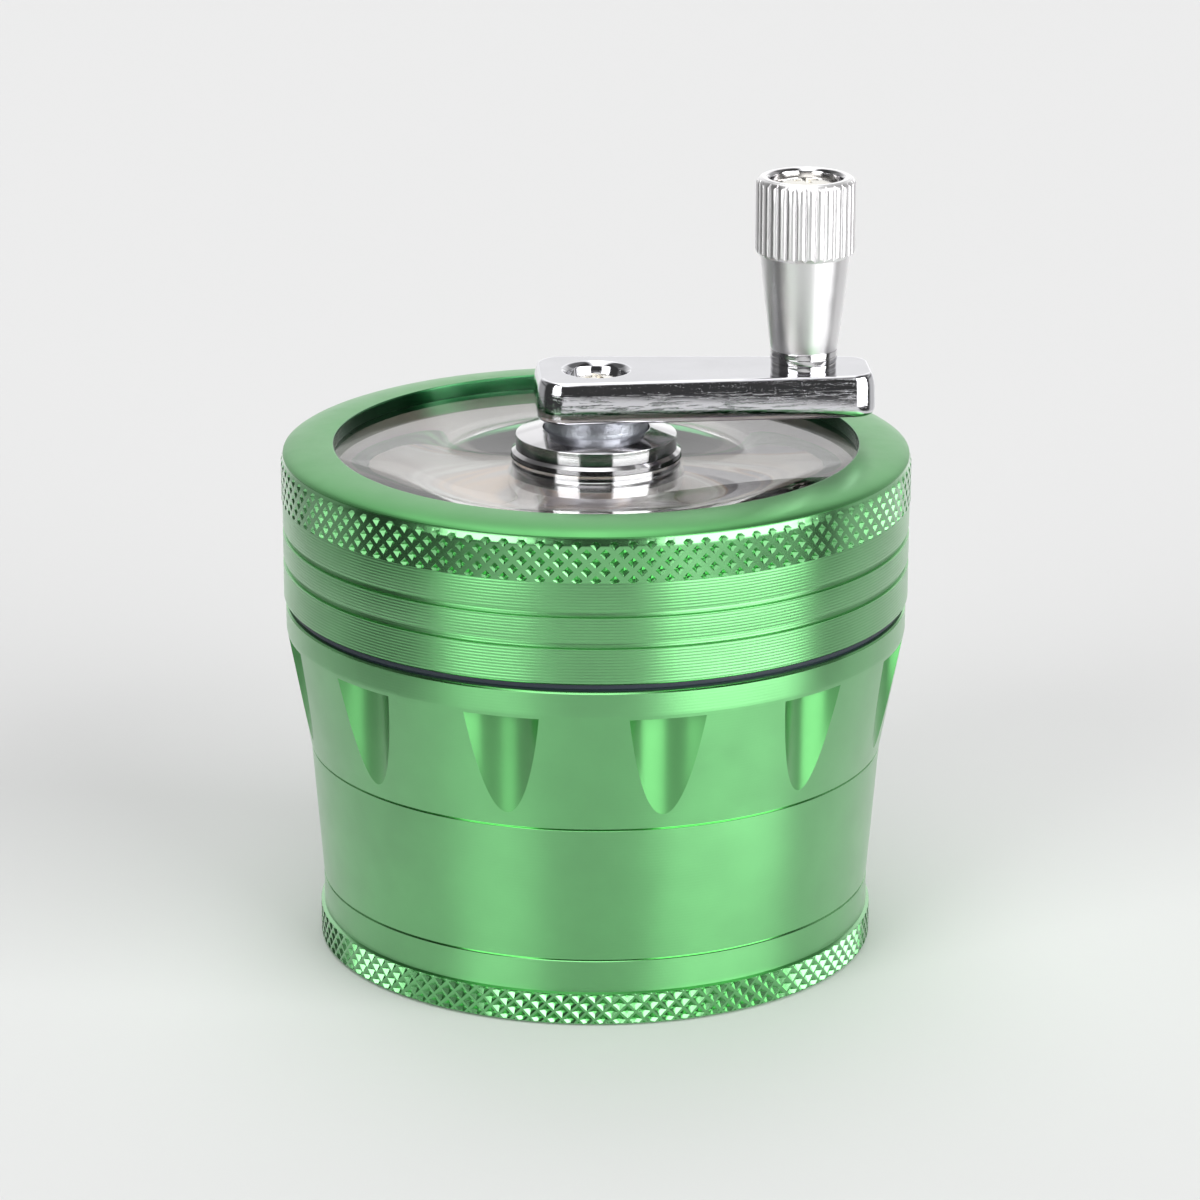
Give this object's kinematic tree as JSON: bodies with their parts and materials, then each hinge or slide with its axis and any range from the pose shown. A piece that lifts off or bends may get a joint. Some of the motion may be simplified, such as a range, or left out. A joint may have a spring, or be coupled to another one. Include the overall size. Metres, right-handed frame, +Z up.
{
  "type": "hand-cranked herb grinder",
  "caption": "Stacked round grinder with fluted chamber, windowed lid and crank arm that turns a toothed plate; sections unscrew.",
  "frame": {"origin": "centre of the flat bottom face of the pollen cup", "axes": "+Z up along the grinder's axis; +X is the side where the crank's knob rests; -Y is the front"},
  "size_m": [0.063, 0.063, 0.0783],
  "materials": {
    "anodised_green": "satin",
    "screen_cloth": "woven",
    "stainless": "satin",
    "nickel": "polished",
    "nylon_slate": "matte",
    "nylon_natural": "matte",
    "acrylic": "gloss",
    "polished_aluminium": "polished",
    "turned_aluminium": "satin",
    "polished_plate": "polished",
    "chromed_zinc": "polished"
  },
  "bodies": {
    "cup": {"pollen_cup": "anodised_green"},
    "storage_carrier": {"screen_ring": "stainless"},
    "storage": {"storage_chamber": "anodised_green", "pollen_screen": "screen_cloth"},
    "grinding_carrier": {"chamber_magnet": "nickel"},
    "grinding": {"grinding_chamber": "anodised_green", "chamber_teeth": "anodised_green"},
    "lid_carrier": {"friction_ring": "nylon_slate"},
    "lid": {"lid_ring": "anodised_green", "window": "acrylic", "window_ring": "stainless", "hub_bush": "polished_aluminium", "hub_nut": "polished_aluminium", "thrust_washer": "nylon_natural"},
    "crank": {"crank_arm": "chromed_zinc", "crank_screw": "nickel", "tooth_plate": "polished_plate", "plate_teeth": "polished_plate", "plate_magnet": "nickel", "knob_washer": "polished_aluminium", "knob_screw": "nickel"},
    "grip": {"knob": "turned_aluminium"}
  },
  "joints": [
    {"name": "storage_lift", "type": "slide", "parent": "cup", "child": "storage_carrier", "axis": [0, 0, 1], "range_m": [0, 0.0034]},
    {"name": "storage_turn", "type": "hinge", "parent": "storage_carrier", "child": "storage", "pos_m": [0, 0, 0.0067], "axis": [0, 0, 1], "range_deg": [0, 810]},
    {"name": "grinding_lift", "type": "slide", "parent": "storage", "child": "grinding_carrier", "axis": [0, 0, 1], "range_m": [0, 0.0034]},
    {"name": "grinding_turn", "type": "hinge", "parent": "grinding_carrier", "child": "grinding", "pos_m": [0, 0, 0.0206], "axis": [0, 0, 1], "range_deg": [0, 810]},
    {"name": "lid_lift", "type": "slide", "parent": "grinding", "child": "lid_carrier", "axis": [0, 0, 1], "range_m": [0, 0.03]},
    {"name": "lid_turn", "type": "hinge", "parent": "lid_carrier", "child": "lid", "pos_m": [0, 0, 0.03615], "axis": [0, 0, 1], "continuous": true},
    {"name": "crank_turn", "type": "hinge", "parent": "lid", "child": "crank", "pos_m": [0, 0, 0.05], "axis": [0, 0, 1], "continuous": true},
    {"name": "knob_spin", "type": "hinge", "parent": "crank", "child": "grip", "pos_m": [0.02066, 0.00126, 0.065], "axis": [0, 0, 1], "continuous": true}
  ],
  "couplings": [
    {"joint": "storage_lift", "follows": "storage_turn", "m_per_rad": 0.00023873},
    {"joint": "grinding_lift", "follows": "grinding_turn", "m_per_rad": 0.00023873}
  ]
}
